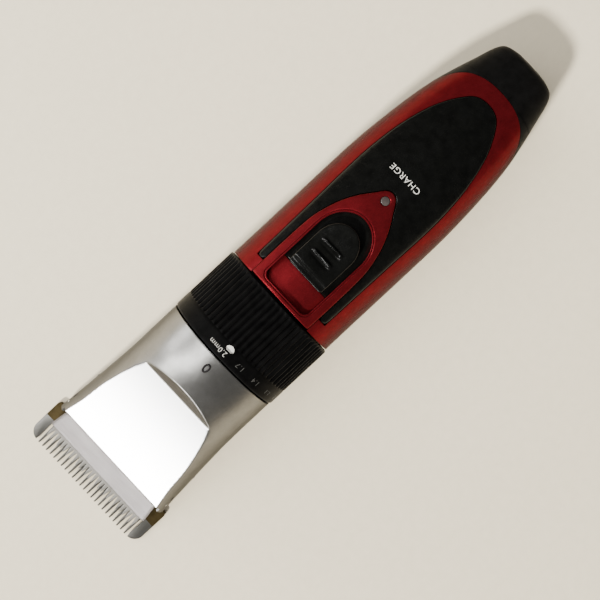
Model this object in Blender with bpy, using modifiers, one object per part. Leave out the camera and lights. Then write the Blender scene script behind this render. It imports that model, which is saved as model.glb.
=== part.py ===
"""Cordless hair clipper with an adjusting ring, built from separate working pieces.

World frame: metres, +Z up.  The clipper lies on its back with the switch up, the blade towards +X and the
tail towards -X.  The origin is at the middle of its footprint.  Helper functions take millimetres.
"""
import math

import bmesh
import bpy
from mathutils import Vector

MM = 0.001
GAP = 0.3                     # clearance between neighbouring pieces

# ---- driving dimensions, millimetres --------------------------------------------------------------
AXIS_Z = 19.5                 # height of the round ring's centre above the table
TIP_X = 88.7                  # tips of the fixed blade
RING_REAR_X = 6.7
RING_FRONT_X = 28.0
RING_R = 19.2
RING_BORE_R = 17.25
CHASSIS_R = 17.0              # tube that the ring turns on
CHASSIS_WALL = 1.8
WALL = 2.2                    # casing wall
RECESS = 1.2                  # depth of the seat of the face panel and the bezel
TRIM_BACK = 0.9               # underside of the panel and the bezel below the casing's skin
BEZEL_RISE = 0.9
BUTTON_RISE = 2.3
HINGE_X = 62.0                # release hinge of the blade module
FIXED_Z = (0.4, 1.9)          # fixed blade, underside and top
MOVING_Z = (2.2, 3.6)
TEETH_ROOT_X = 81.0
FIXED_TEETH = 24
FIXED_PITCH = 1.63
MOVING_TEETH = 28
MOVING_PITCH = 1.36
MOVING_TIP_X = 84.9
BLADE_HALF = 23.3             # half width over the fixed blade's side teeth
CHEEK_INNER = 20.2
HEEL_HALF = 18.2              # half width of the fixed blade behind its side teeth
MOVING_ROOT_X = 81.9
MOVING_REAR_X = 70.1
LEVER_PIVOT_X = 56.0
LEVER_TIP_X = 72.4
LEVER_REAR_X = 39.4
ECCENTRIC = 0.9               # throw of the motor's pin
PIN_PLAY = 1.9                # room beside the pin for its throw and the lever's swing
CHEEK_REAR_X = 75.4
BLADE_SCREWS = ((64.6, -12.0), (64.6, 12.0))
LEVER_TIP_R = 1.3
SLIP = 0.1                    # close fit of parts that slide or are pressed together
RIDGES = 68                   # ridges round the ring
CHASSIS_FRONT_X = 30.8
POINTER_X = 32.4
MOTOR_X = (4.0, 29.0)
MOTOR_R = 10.2
SHAFT_R = 1.0
SHAFT_BORE_R = 1.05
WHEEL_FACE_X = 36.4           # front of the eccentric wheel
PIN_R = 0.7
PIVOT_PIN_R = 1.15
BRACKET_FOOT_Z = 4.6
PIVOT_Z = (10.2, 16.5)        # foot of the lever on its bracket, top of the pivot pin
BATTERY_X = (-58.0, -8.0)
BATTERY_R = 7.1
BATTERY_Z = 11.8
BOARD_Z = 27.5
SLIDER_TOP_Z = 38.2
LENS_TOP_Z = 38.0
JACK_Z = 19.2
JACK_R = 2.8
BOSS_X = -64.0                # screw that holds the two shells together
BOSS_R = 2.6
SCREW_R = 0.9
ROUND = 40                    # points round a casing section

# casing sections of the handle: x, half width, top z, underside z, roundness above and below the middle
HANDLE = [(6.4, 18.7, 38.3, 0.5, 2.0, 2.0), (-5, 18.7, 38.2, -0.2, 2.05, 2.05),
          (-20, 18.75, 37.9, -0.35, 2.1, 2.1), (-38, 18.7, 36.8, -0.35, 2.15, 2.15),
          (-48, 18.2, 35.6, 0.2, 2.2, 2.2), (-58, 17.3, 34.0, 1.7, 2.25, 2.2),
          (-66, 16.1, 32.3, 4.0, 2.3, 2.2), (-73, 14.4, 30.4, 6.9, 2.35, 2.25),
          (-80, 12.4, 28.1, 10.0, 2.45, 2.35), (-85.2, 10.9, 26.2, 12.2, 2.6, 2.5),
          (-87.6, 9.5, 24.9, 13.6, 2.7, 2.6), (-88.7, 7.4, 23.0, 15.4, 2.7, 2.6)]
# sections of the head before the facet is cut, with the height of the widest point last
HEAD = [(28.4, 18.9, 38.4, 0.6, 2.0, 2.0, 19.5), (36, 18.95, 37.6, 0.3, 2.0, 2.1, 18.5),
        (42.5, 19.15, 36.0, 0.0, 2.0, 2.3, 16.0), (47.7, 19.4, 34.9, -0.1, 2.0, 2.8, 14.0),
        (58, 20.25, 30.9, -0.3, 2.0, 4.5, 9.5), (66, 20.95, 26.3, -0.3, 1.87, 7.0, 6.8),
        (74.9, 21.7, 21.5, -0.3, 1.7, 8.0, 5.0)]
HEAD_WALL = 1.8
FACET_RIM = (39.9, 37.8)      # step behind the facet in side view: x, z
FACET_REAR = (43.5, 31.0)     # facet line
FACET_FRONT = (73.7, 11.2)
LIP_FRONT = (81.2, 5.2)       # front edge of the satin lip

# plan outlines as x, half width
PANEL_EDGE = [(2.0, 13.1), (-20, 13.4), (-38, 13.6), (-50.5, 12.4), (-59.5, 10.2),
              (-64.2, 8.1), (-68.0, 5.3)]
PANEL_TIP_X = -70.3
TONGUE_EDGE = [(6.1, 10.6), (-6, 10.6), (-14.8, 10.3), (-19.2, 9.4), (-23.6, 8.0),
               (-28.0, 5.8), (-32.2, 2.6)]
TONGUE_TIP_X = -34.5
WELL_FRONT_X = 5.0
WELL_REAR_X = -24.8
WELL_HALF = 8.3
BUTTON_FRONT_X = -2.7
BUTTON_REAR_X = -20.4
BUTTON_HALF = 6.1
LED_X = -31.6
LED_R = 1.1

# casing split in side view: x, z
SPLIT = [(20, 15.0), (-47, 15.0), (-53, 16.8), (-60, 19.6), (-66, 22.4), (-71, 25.8),
         (-75.6, 29.8), (-80.6, 34.2), (-100, 52)]

PARTS = "hair_clipper"
CUTTERS = "cutters"

groups = {}

# ---- scene and material helpers -------------------------------------------------------------------


def clear_scene():
    for old in list(bpy.data.objects):
        bpy.data.objects.remove(old, do_unlink=True)
    for name in (PARTS, CUTTERS):
        group = bpy.data.collections.new(name)
        bpy.context.scene.collection.children.link(group)
        groups[name] = group


def material(name, colour, metallic=0.0, roughness=0.4):
    found = bpy.data.materials.get(name)
    if found:
        return found
    made = bpy.data.materials.new(name)
    made.use_nodes = True
    shader = made.node_tree.nodes["Principled BSDF"]
    shader.inputs["Base Color"].default_value = (*colour, 1.0)
    shader.inputs["Metallic"].default_value = metallic
    shader.inputs["Roughness"].default_value = roughness
    return made


FINISH = {
    "red_paint": ((0.16, 0.006, 0.012), 0.5, 0.25),
    "black_plastic": ((0.012, 0.012, 0.013), 0.0, 0.35),
    "black_gloss": ((0.01, 0.01, 0.011), 0.0, 0.12),
    "silver_paint": ((0.55, 0.55, 0.54), 0.85, 0.3),
    "satin_silver": ((0.5, 0.49, 0.48), 0.8, 0.4),
    "titanium_steel": ((0.22, 0.19, 0.15), 1.0, 0.35),
    "steel": ((0.5, 0.5, 0.5), 1.0, 0.25),
    "white_ceramic": ((0.72, 0.71, 0.68), 0.0, 0.3),
    "brass": ((0.6, 0.42, 0.15), 1.0, 0.3),
    "green_board": ((0.01, 0.12, 0.04), 0.0, 0.5),
    "white_nylon": ((0.7, 0.7, 0.66), 0.0, 0.5),
    "battery_sleeve": ((0.03, 0.16, 0.08), 0.0, 0.35),
    "clear_lens": ((0.3, 0.3, 0.3), 0.0, 0.1),
    "red_led": ((0.5, 0.02, 0.02), 0.0, 0.2),
}


def add_part(name, mesh, finish, group=PARTS):
    piece = bpy.data.objects.new(name, mesh)
    groups[group].objects.link(piece)
    if group == CUTTERS:
        piece.hide_render = True
        piece.display_type = "WIRE"
    else:
        colour, metallic, roughness = FINISH[finish]
        mesh.materials.clear()
        mesh.materials.append(material(finish, colour, metallic, roughness))
        mesh.shade_smooth()
        mesh.set_sharp_from_angle(angle=math.radians(35))
    return piece


def mesh_from(bm, name):
    bmesh.ops.recalc_face_normals(bm, faces=bm.faces)
    if bm.calc_volume(signed=True) < 0:
        bmesh.ops.reverse_faces(bm, faces=bm.faces)
    mesh = bpy.data.meshes.new(name)
    bm.to_mesh(mesh)
    bm.free()
    return mesh


def set_origin(piece, x, y, z):
    """Put a piece's origin at a world point without moving its mesh."""
    shift = Vector((x, y, z)) * MM
    for vertex in piece.data.vertices:
        vertex.co -= shift
    piece.location = shift


def boolean(piece, cutter, operation="DIFFERENCE"):
    step = piece.modifiers.new(cutter.name, "BOOLEAN")
    step.operation = operation
    step.object = cutter
    step.solver = "EXACT"
    return piece


# ---- shape helpers, millimetres -------------------------------------------------------------------


def box(name, low, high, finish=None, group=PARTS):
    bm = bmesh.new()
    bmesh.ops.create_cube(bm, size=1.0)
    for vertex in bm.verts:
        for i in range(3):
            vertex.co[i] = ((low[i] + high[i]) / 2 + vertex.co[i] * (high[i] - low[i])) * MM
    return add_part(name, mesh_from(bm, name), finish, group)


def cylinder(name, start, end, radius, finish=None, group=PARTS, sides=24, radius_end=None):
    start, end = Vector(start), Vector(end)
    along = end - start
    bm = bmesh.new()
    tip = radius if radius_end is None else radius_end
    bmesh.ops.create_cone(bm, cap_ends=True, segments=sides, radius1=radius, radius2=tip, depth=along.length)
    turn = along.to_track_quat("Z", "Y").to_matrix()
    middle = (start + end) / 2
    for vertex in bm.verts:
        vertex.co = (turn @ vertex.co + middle) * MM
    return add_part(name, mesh_from(bm, name), finish, group)


def prism(name, outline, low, high, axis="Z", finish=None, group=PARTS):
    """Extrude a closed outline: x, y points along Z, x, z points along Y, or y, z points along X."""
    bm = bmesh.new()
    order = {"Z": lambda u, v, w: (u, v, w), "Y": lambda u, v, w: (u, w, v), "X": lambda u, v, w: (w, u, v)}
    place = order[axis]
    rings = []
    for level in (low, high):
        rings.append([bm.verts.new(Vector(place(u, v, level)) * MM) for u, v in outline])
    count = len(outline)
    for i in range(count):
        j = (i + 1) % count
        bm.faces.new((rings[0][i], rings[0][j], rings[1][j], rings[1][i]))
    bm.faces.new(rings[0])
    bm.faces.new(rings[1])
    return add_part(name, mesh_from(bm, name), finish, group)


def turned(name, profile, finish=None, group=PARTS, steps=48):
    """Screw a closed profile of x, radius points about the ring's axis, outer side first from high x."""
    bm = bmesh.new()
    corners = [bm.verts.new(Vector((radius, 0, x)) * MM) for x, radius in profile]
    for here, there in zip(corners, corners[1:] + corners[:1]):
        bm.edges.new((here, there))
    mesh = bpy.data.meshes.new(name)
    bm.to_mesh(mesh)
    bm.free()
    piece = add_part(name, mesh, finish, group)
    piece.location = (0, 0, AXIS_Z * MM)
    piece.rotation_euler = (0, math.pi / 2, 0)
    screw = piece.modifiers.new("turn", "SCREW")
    screw.steps = steps
    screw.render_steps = steps
    screw.use_merge_vertices = True
    screw.merge_threshold = 1e-5
    screw.use_smooth_shade = True
    return piece


def rod(name, points, radius, finish, sides=2):
    """A bent bar of round wire through the given points."""
    curve = bpy.data.curves.new(name, "CURVE")
    curve.dimensions = "3D"
    curve.bevel_depth = radius * MM
    curve.bevel_resolution = sides
    curve.use_fill_caps = True
    spline = curve.splines.new("POLY")
    spline.points.add(len(points) - 1)
    for point, place in zip(spline.points, points):
        point.co = (*(Vector(place) * MM), 1.0)
    piece = bpy.data.objects.new(name, curve)
    groups[PARTS].objects.link(piece)
    colour, metallic, roughness = FINISH[finish]
    curve.materials.append(material(finish, colour, metallic, roughness))
    return piece


def smooth_value(table, x, column):
    """Catmull-Rom reading of one column of a station table at x."""
    rows = sorted(table)
    last = len(rows) - 1
    x = min(max(x, rows[0][0]), rows[last][0])
    k = 0
    while k < last - 1 and rows[k + 1][0] < x:
        k += 1
    a, b = rows[k], rows[k + 1]
    before, after = rows[max(k - 1, 0)], rows[min(k + 2, last)]
    span = b[0] - a[0]
    t = (x - a[0]) / span
    slope_a = (b[column] - before[column]) / max(b[0] - before[0], 1e-6) * span
    slope_b = (after[column] - a[column]) / max(after[0] - a[0], 1e-6) * span
    t2, t3 = t * t, t * t * t
    return ((2 * t3 - 3 * t2 + 1) * a[column] + (t3 - 2 * t2 + t) * slope_a
            + (-2 * t3 + 3 * t2) * b[column] + (t3 - t2) * slope_b)


def power(value, exponent):
    return math.copysign(abs(value) ** exponent, value)


def section(table, x, offset):
    """Points of a super-elliptic casing section at x, grown by offset."""
    half, top, low, above, below = (smooth_value(table, x, column) for column in range(1, 6))
    waist = smooth_value(table, x, 6) if len(table[0]) > 6 else (top + low) / 2
    half += offset
    points = []
    for k in range(ROUND):
        angle = 2 * math.pi * (k + 0.5) / ROUND
        upper = angle < math.pi
        shape = above if upper else below
        rise = (top - waist if upper else waist - low) + offset
        points.append((x, half * power(math.cos(angle), 2 / shape),
                       waist + rise * power(math.sin(angle), 2 / shape)))
    return points


def loft(name, table, stations, offset=0.0, finish=None, group=CUTTERS):
    bm = bmesh.new()
    rings = []
    for x in stations:
        rings.append([bm.verts.new(Vector(point) * MM) for point in section(table, x, offset)])
    for here, there in zip(rings, rings[1:]):
        for i in range(ROUND):
            j = (i + 1) % ROUND
            bm.faces.new((here[i], here[j], there[j], there[i]))
    bm.faces.new(rings[0])
    bm.faces.new(rings[-1])
    return add_part(name, mesh_from(bm, name), finish, group)


def spread(start, end, count):
    return [start + (end - start) * k / (count - 1) for k in range(count)]


def plan_outline(edge, tip_x, grow=0.0, front=0.0):
    """Closed symmetric outline from half widths along x to a rounded tip."""
    side = []
    xs = spread(edge[0][0], edge[-1][0], 14)
    for x in xs:
        side.append((x, smooth_value(edge, x, 1) + grow))
    side[0] = (side[0][0] + front, side[0][1])
    tip = (tip_x - grow, 0.0)
    return side + [tip] + [(x, -y) for x, y in reversed(side)]


def d_outline(front_x, rear_x, half, corner=1.5, grow=0.0):
    """D shape: round at the rear, nearly square at the front with rounded corners."""
    front_x, rear_x, half = front_x + grow, rear_x - grow, half + grow
    bow = half * 1.15
    points = []
    for k in range(5):
        angle = math.pi / 2 * k / 4
        points.append((front_x - corner + corner * math.cos(angle),
                       half - corner + corner * math.sin(angle)))
    for k in range(1, 16):
        angle = math.pi / 2 + math.pi * k / 16
        points.append((rear_x + bow + bow * math.cos(angle), half * math.sin(angle)))
    for k in range(5):
        angle = -math.pi / 2 + math.pi / 2 * k / 4
        points.append((front_x - corner + corner * math.cos(angle),
                       -half + corner + corner * math.sin(angle)))
    return points


# ---- casing ---------------------------------------------------------------------------------------

HANDLE_X = [6.4, 2, -5, -12, -20, -29, -38, -43, -48, -53, -58, -62, -66, -70, -73, -77, -80, -83, -85.2,
            -87,
            -88, -88.7]
HEAD_X = [28.4, 32, 36, 40, 44, 48, 52, 56, 60, 64, 68, 71.5, 74.9]


def casing_cutters():
    inner_x = [9.0, 2, -5, -12, -20, -29, -38, -43, -48, -53, -58, -62, -66, -70, -73, -77, -80, -83, -86]
    loft("handle_hollow", HANDLE, inner_x, -WALL)
    loft("recess_bed", HANDLE, HANDLE_X, -RECESS)
    loft("trim_bed", HANDLE, HANDLE_X, -TRIM_BACK)
    box("floor_cut", (-120, -40, -5), (120, 40, 0), group=CUTTERS)
    lower = SPLIT + [(-100, -20), (20, -20)]
    upper = [(x, z - GAP) for x, z in SPLIT] + [(-100, 80), (20, 80)]
    prism("lower_half", lower, -30, 30, "Y", group=CUTTERS)
    prism("upper_half", upper, -30, 30, "Y", group=CUTTERS)
    seat = prism("trim_seat", plan_outline([(6.8, 13.1)] + PANEL_EDGE, PANEL_TIP_X), 20, 60, group=CUTTERS)
    front = box("prong_front", (2.3, 10.9, 19), (12, 20, 61), group=CUTTERS)
    front_low = box("prong_front_low", (2.3, -20, 19), (12, -10.9, 61), group=CUTTERS)
    well = prism("well_hole", d_outline(WELL_FRONT_X, WELL_REAR_X, WELL_HALF), 18, 62, group=CUTTERS)
    for cutter in (front, front_low, well, objects("recess_bed")):
        boolean(seat, cutter)
    prism("tongue_block", plan_outline(TONGUE_EDGE, TONGUE_TIP_X, grow=GAP), 10, 70, group=CUTTERS)
    box("switch_slot", (-15.5, -1.6, 30), (-2.5, 1.6, 45), group=CUTTERS)
    cylinder("led_hole", (LED_X, 0, 25), (LED_X, 0, 50), LED_R + GAP, group=CUTTERS)
    cylinder("jack_hole", (-100, 0, JACK_Z), (-80, 0, JACK_Z), JACK_R + GAP, group=CUTTERS)


def objects(name):
    return bpy.data.objects[name]


def upper_shell():
    piece = loft("upper_shell", HANDLE, HANDLE_X, 0, "red_paint", PARTS)
    for cutter in ("handle_hollow", "lower_half", "trim_seat", "switch_slot", "led_hole"):
        boolean(piece, objects(cutter))
    boolean(piece, cylinder("boss", (BOSS_X, 0, 8.0), (BOSS_X, 0, 31.2), BOSS_R, group=CUTTERS), "UNION")
    boolean(piece, cylinder("boss_bore", (BOSS_X, 0, 0), (BOSS_X, 0, 18.0), SCREW_R + 0.15, group=CUTTERS,
                            sides=16))


def lower_shell():
    piece = loft("lower_shell", HANDLE, HANDLE_X, 0, "black_plastic", PARTS)
    for cutter in ("handle_hollow", "upper_half", "floor_cut", "jack_hole"):
        boolean(piece, objects(cutter))
    boolean(piece, cylinder("screw_hole", (BOSS_X, 0, -2), (BOSS_X, 0, 12), SCREW_R + GAP, group=CUTTERS,
                            sides=16))
    boolean(piece, cylinder("screw_sink", (BOSS_X, 0, -2), (BOSS_X, 0, 5.3), 2 * SCREW_R + GAP,
                            group=CUTTERS,
                            sides=16))


def face_panel():
    outline = plan_outline(PANEL_EDGE, PANEL_TIP_X, grow=-GAP / 2, front=-GAP / 2)
    guide = prism("panel_block", outline, 15, 65, group=CUTTERS)
    piece = loft("face_panel", HANDLE, HANDLE_X, 0, "black_gloss", PARTS)
    boolean(piece, guide, "INTERSECT")
    boolean(piece, objects("trim_bed"))
    boolean(piece, objects("tongue_block"))


def switch_bezel():
    outline = plan_outline(TONGUE_EDGE, TONGUE_TIP_X, grow=0)
    guide = prism("bezel_block", outline, 15, 65, group=CUTTERS)
    piece = loft("switch_bezel", HANDLE, HANDLE_X, BEZEL_RISE, "red_paint", PARTS)
    boolean(piece, guide, "INTERSECT")
    boolean(piece, objects("trim_bed"))
    boolean(piece, objects("well_hole"))
    boolean(piece, objects("led_hole"))


def head_shell():
    piece = loft("head_shell", HEAD, HEAD_X, 0, "silver_paint", PARTS)
    hollow = loft("head_hollow", HEAD, [26] + HEAD_X[1:-1] + [77], -HEAD_WALL)
    slope = (FACET_FRONT[1] - FACET_REAR[1]) / (FACET_FRONT[0] - FACET_REAR[0])
    far = (FACET_FRONT[0] + 20, FACET_FRONT[1] + slope * 20)
    facet_top = [FACET_REAR, far, (far[0], 60), (FACET_RIM[0] - 4, 60), (FACET_RIM[0] - 4, 45.4), FACET_RIM]
    facet = prism("facet_cut", facet_top, -40, 40, "Y", group=CUTTERS)
    drop = HEAD_WALL * 1.15
    under = [(x, z - drop) for x, z in facet_top]
    inside = prism("facet_inside", under, -40, 40, "Y", group=CUTTERS)
    boolean(hollow, inside)
    boolean(piece, hollow)
    boolean(piece, facet)
    boolean(piece, objects("floor_cut"))
    room = CHEEK_INNER + 0.2
    boolean(piece, box("cover_room", (FACET_FRONT[0], -room, -4), (82, room, 31), group=CUTTERS))
    rear, step, front, narrow, wide = HINGE_X - 0.3, 69.4, 79, 18.7, 19.75
    side = [(rear, narrow), (step, narrow), (step, wide), (front, wide)]
    mouth = side + [(x, -y) for x, y in reversed(side)]
    boolean(piece, prism("blade_mouth", mouth, -3, 8.4, group=CUTTERS))


# ---- blade module ---------------------------------------------------------------------------------


def comb_outline(count, pitch, tip_x, root_x, tip_width, root_width):
    """Plan of a row of teeth, from the -Y end to the +Y end."""
    points = []
    for k in range(count):
        middle = (k - (count - 1) / 2) * pitch
        points += [(root_x, middle - root_width / 2), (tip_x, middle - tip_width / 2),
                   (tip_x, middle + tip_width / 2), (root_x, middle + root_width / 2)]
    return points


def round_corner(x, y, radius, start, end, count=5):
    return [(x + radius * math.cos(math.radians(a)), y + radius * math.sin(math.radians(a)))
            for a in spread(start, end, count)]


def fixed_blade():
    cheek_tip = TIP_X - 0.1
    low = [(CHEEK_REAR_X, -HEEL_HALF), (CHEEK_REAR_X, -BLADE_HALF + 0.8), (CHEEK_REAR_X + 0.8, -BLADE_HALF)]
    low += round_corner(cheek_tip - 3.2, -BLADE_HALF + 3.2, 3.2, -90, -15)
    low += [(cheek_tip, -CHEEK_INNER), (TEETH_ROOT_X, -CHEEK_INNER)]
    teeth = comb_outline(FIXED_TEETH, FIXED_PITCH, TIP_X, TEETH_ROOT_X, 0.5, 0.85)
    high = [(x, -y) for x, y in reversed(low)]
    outline = [(HINGE_X + GAP, -HEEL_HALF)] + low + teeth + high + [(HINGE_X + GAP, HEEL_HALF)]
    piece = prism("fixed_blade", outline, *FIXED_Z, finish="titanium_steel")
    taper = prism("tooth_taper", [(TEETH_ROOT_X - 2, FIXED_Z[1]), (TIP_X + 1, FIXED_Z[1] - 0.75),
                                  (TIP_X + 1, 5), (TEETH_ROOT_X - 2,
                                                   5)], -CHEEK_INNER + 0.3, CHEEK_INNER - 0.3, "Y",
                  group=CUTTERS)
    boolean(piece, taper)
    for k, (x, y) in enumerate(BLADE_SCREWS):
        hole = cylinder(f"blade_screw_hole_{k}", (x, y, -1), (x, y, 3), 1.1, group=CUTTERS, sides=16)
        boolean(piece, hole)


def moving_blade():
    teeth = comb_outline(MOVING_TEETH, MOVING_PITCH, MOVING_TIP_X, MOVING_ROOT_X, 0.35, 1.15)
    half = MOVING_TEETH * MOVING_PITCH / 2 - GAP
    outline = [(MOVING_REAR_X, -half), (MOVING_ROOT_X, -half)] + teeth[1:-1]
    outline += [(MOVING_ROOT_X, half), (MOVING_REAR_X, half)]
    prism("moving_blade", outline, *MOVING_Z, finish="white_ceramic")


def drive_fork():
    """Two prongs on the moving blade that the lever's tip swings between."""
    top = MOVING_Z[1]
    piece = box("drive_fork", (70.3, -4.6, top + GAP / 3), (74.6, 4.6, 6.9), "white_nylon")
    boolean(piece, box("fork_slot", (68, -LEVER_TIP_R - 0.08, top + 1.2), (80, LEVER_TIP_R + 0.08, 9),
                       group=CUTTERS))


def length_carriage():
    """Frame behind the moving blade that the length setting pushes forward."""
    piece = box("length_carriage", (66.9, -16.8, MOVING_Z[0]), (69.8, 16.8, 5.2), "black_plastic")
    boolean(piece, box("carriage_window", (64, -6.0, 3.6), (74, 6.0, 9), group=CUTTERS))


def blade_holder():
    """Plastic base that hooks into the head, screwed to the fixed blade."""
    piece = box("blade_holder", (HINGE_X + GAP, -18.0, FIXED_Z[1] + GAP / 3), (66.6, 18.0, 6.4),
                "black_plastic")
    boolean(piece, box("holder_window", (60, -8.0, 4.0), (70, 8.0, 9), group=CUTTERS))
    for k, (x, y) in enumerate(BLADE_SCREWS):
        boolean(piece, cylinder(f"holder_hole_{k}", (x, y, 1), (x, y, 4.6), 0.95, group=CUTTERS, sides=16))


def blade_screws():
    for k, (x, y) in enumerate(BLADE_SCREWS):
        piece = cylinder(f"blade_screw_{k + 1}", (x, y, 0.15), (x, y, 4.2), 0.7, "steel", sides=16)
        ring = cylinder(f"screw_head_{k + 1}", (x, y, 0.12), (x, y, 0.9), 0.98, group=CUTTERS, sides=16)
        boolean(piece, ring, "UNION")


def blade_cover():
    """Satin lip that bridges the moving blade between the side teeth."""
    back = FACET_FRONT[0] + GAP
    outline = [(back, FACET_FRONT[1] - 0.1), LIP_FRONT, (LIP_FRONT[0], LIP_FRONT[1] - 0.9),
               (back + 3.4, LIP_FRONT[1] - 0.9), (back + 2.2, 8.9), (back, 8.9)]
    prism("blade_cover", outline, -CHEEK_INNER + SLIP, CHEEK_INNER - SLIP, "Y", "satin_silver")


def blade_springs():
    """Flat springs on the carriage that press the moving blade on the fixed blade."""
    for side, name in ((-1, "blade_spring_left"), (1, "blade_spring_right")):
        low, high = sorted((side * 8.0, side * 11.0))
        outline = [(67.2, 5.3), (70.4, 5.3), (73.4, 3.72), (78.0, 3.72), (78.0, 3.97), (73.5, 3.97),
                   (70.5, 5.6), (67.2, 5.6)]
        prism(name, outline, low, high, "Y", "steel")


# ---- ring, chassis and drive ----------------------------------------------------------------------


def adjust_ring():
    """Ridged ring with a smooth band for the dial at its front."""
    band = RING_FRONT_X - 5.6
    skirt = RING_REAR_X + 0.6
    profile = [(RING_FRONT_X, RING_R - 0.5), (RING_FRONT_X - 0.4, RING_R - 0.1), (band + 0.2, RING_R - 0.1),
               (band - 0.3, RING_R - 0.55), (skirt + 0.3, RING_R - 0.55), (skirt, RING_R - 0.1),
               (RING_REAR_X, RING_R - 0.3), (RING_REAR_X, RING_BORE_R), (RING_FRONT_X, RING_BORE_R)]
    turned("adjust_ring", profile, "black_plastic", steps=RIDGES)


def chassis():
    """Tube that carries the ring and joins the head to the handle."""
    inner = CHASSIS_R - CHASSIS_WALL
    profile = [(CHASSIS_FRONT_X, CHASSIS_R - 0.8), (27.4, CHASSIS_R - 0.8), (27.4, CHASSIS_R), (7.5,
                                                                                                CHASSIS_R),
               (7.5, CHASSIS_R - 0.9), (-3.0, CHASSIS_R - 0.9), (-3.0, inner), (CHASSIS_FRONT_X, inner)]
    turned("chassis_tube", profile, "black_plastic", steps=40)


def motor():
    rear, front = MOTOR_X
    cylinder("motor_can", (rear, 0, AXIS_Z), (front, 0, AXIS_Z), MOTOR_R, "steel", sides=32)
    cylinder("motor_end_cap", (rear - 2.6, 0, AXIS_Z), (rear - SLIP, 0, AXIS_Z), MOTOR_R - 0.6,
             "white_nylon",
             sides=32)
    bush = cylinder("motor_bush", (front + SLIP, 0, AXIS_Z), (front + 1.5, 0, AXIS_Z), 3.0, "brass",
                    sides=20)
    boolean(bush, cylinder("bush_bore", (0, 0, AXIS_Z), (60, 0, AXIS_Z), SHAFT_BORE_R, group=CUTTERS,
                           sides=16))
    cylinder("motor_shaft", (front + SLIP, 0, AXIS_Z), (front + 7.0, 0, AXIS_Z), SHAFT_R, "steel", sides=16)
    outer, inner = CHASSIS_R - CHASSIS_WALL - 0.2, MOTOR_R + SLIP
    turned("motor_mount", [(front - 3, outer), (front - 8, outer), (front - 8, inner), (front - 3, inner)],
           "white_nylon", steps=32)


def eccentric():
    """Drive wheel on the motor shaft with the offset pin that swings the lever."""
    face = WHEEL_FACE_X
    wheel = cylinder("eccentric_wheel", (face - 5.0, 0, AXIS_Z), (face, 0, AXIS_Z), 4.2, "white_nylon",
                     sides=28)
    boolean(wheel, cylinder("wheel_bore", (face - 6, 0, AXIS_Z), (face - 0.2, 0, AXIS_Z), SHAFT_BORE_R,
                            group=CUTTERS, sides=16))
    cylinder("eccentric_pin", (face + SLIP, 0, AXIS_Z + ECCENTRIC),
             (face + 5.2, 0, AXIS_Z + ECCENTRIC), PIN_R, "steel", sides=16)


def drive_lever():
    """Lever that turns the pin's circle into the moving blade's side to side stroke."""
    rear = LEVER_REAR_X
    outline = [(rear, AXIS_Z + 3.4), (rear + 3.0, AXIS_Z + 3.4), (LEVER_PIVOT_X - 4, 15.4),
               (LEVER_PIVOT_X + 3, 14.4),
               (LEVER_TIP_X - 4.4, 9.6), (LEVER_TIP_X - 4.4, 7.3), (LEVER_PIVOT_X + 2, 10.6),
               (LEVER_PIVOT_X - 4, 10.8), (rear + 2.6, AXIS_Z - 3.4), (rear, AXIS_Z - 3.4)]
    piece = prism("drive_lever", outline, -3.9, 3.9, "Y", "white_nylon")
    narrow, slot = 1.9, PIN_R + PIN_PLAY
    for side in (-1, 1):
        low, high = sorted((side * narrow, side * 9))
        boolean(piece, box(f"lever_side_{side}", (LEVER_PIVOT_X + 3.2, low, 5), (90, high, 30),
                           group=CUTTERS))
    boolean(piece, box("pin_slot", (rear - 2, -slot, AXIS_Z - 2.0), (rear + 6, slot, AXIS_Z + 2.0),
                       group=CUTTERS))
    boolean(piece, cylinder("pivot_bore", (LEVER_PIVOT_X, 0, 0), (LEVER_PIVOT_X, 0, 30), PIVOT_PIN_R + 0.2,
                            group=CUTTERS, sides=20))
    tip = cylinder("lever_tip_block", (LEVER_TIP_X, 0, 5.0), (LEVER_TIP_X, 0, 8.6), LEVER_TIP_R - 0.05,
                   group=CUTTERS, sides=20)
    bridge = box("lever_bridge", (LEVER_TIP_X - 5.0, -1.2, 7.3), (LEVER_TIP_X, 1.2, 8.6), group=CUTTERS)
    boolean(piece, bridge, "UNION")
    boolean(piece, tip, "UNION")
    set_origin(piece, LEVER_PIVOT_X, 0, AXIS_Z)


def lever_bracket():
    """Bridge inside the head that holds the lever's pivot pin."""
    low, high = PIVOT_Z
    piece = box("lever_bracket", (LEVER_PIVOT_X - 2.6, -11.5, BRACKET_FOOT_Z),
                (LEVER_PIVOT_X + 2.6, 11.5, low - 0.1), "black_plastic")
    boolean(piece, box("bracket_arch", (LEVER_PIVOT_X - 9, -9.7, 0), (LEVER_PIVOT_X + 9, 9.7, low - 2.2),
                       group=CUTTERS))
    boolean(piece, cylinder("bracket_bore", (LEVER_PIVOT_X, 0, 0), (LEVER_PIVOT_X, 0, 30),
                            PIVOT_PIN_R + SLIP,
                            group=CUTTERS, sides=20))
    cylinder("pivot_pin", (LEVER_PIVOT_X, 0, low - 2.1), (LEVER_PIVOT_X, 0, high), PIVOT_PIN_R, "steel",
             sides=20)


def length_slider():
    """Sliding ring inside the chassis with the two rods that reach the carriage."""
    inner = CHASSIS_R - CHASSIS_WALL
    turned("slider_ring", [(33.6, inner - 0.3), (31.2, inner - 0.3), (31.2, inner - 2.2),
                           (33.6, inner - 2.2)],
           "white_nylon", steps=32)
    for side, name in ((-1, "push_rod_left"), (1, "push_rod_right")):
        y = side * 13.0
        points = [(34.0, y, AXIS_Z), (40.0, y, 18.0), (48.0, y, 13.0), (56.0, y, 8.6), (62.0, y, 7.4),
                  (68.6, y, 7.4), (68.6, y, 5.6)]
        rod(name, points, 0.5, "steel")


# ---- handle's inner parts -------------------------------------------------------------------------


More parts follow.
